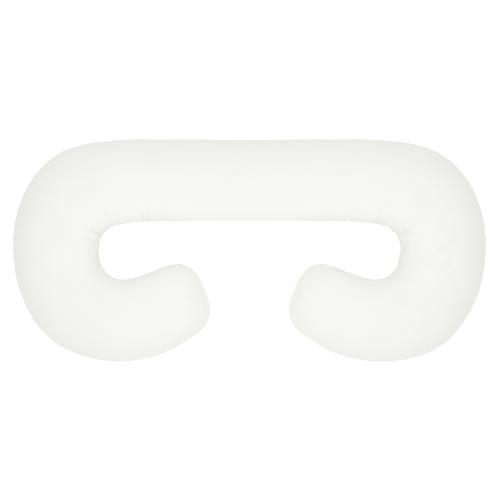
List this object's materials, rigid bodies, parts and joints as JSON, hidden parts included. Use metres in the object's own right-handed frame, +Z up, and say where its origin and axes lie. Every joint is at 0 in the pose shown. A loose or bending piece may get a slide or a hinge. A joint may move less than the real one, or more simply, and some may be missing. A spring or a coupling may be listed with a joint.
{
  "type": "body pillow",
  "caption": "Long C-shaped body pillow with two inward hooks, stuffed full and seamed all round, in plain white cotton.",
  "frame": {"origin": "on the surface that the pillow lies on, under the middle of its outline", "axes": "+X along the straight run, +Y from the hooks towards the straight run, +Z up from the surface through the crown"},
  "size_m": [1.4192, 0.6696, 0.1956],
  "materials": {
    "white_cotton": "matte plain-woven cotton"
  },
  "bodies": {
    "root": {"body_pillow": "white_cotton"}
  },
  "joints": []
}
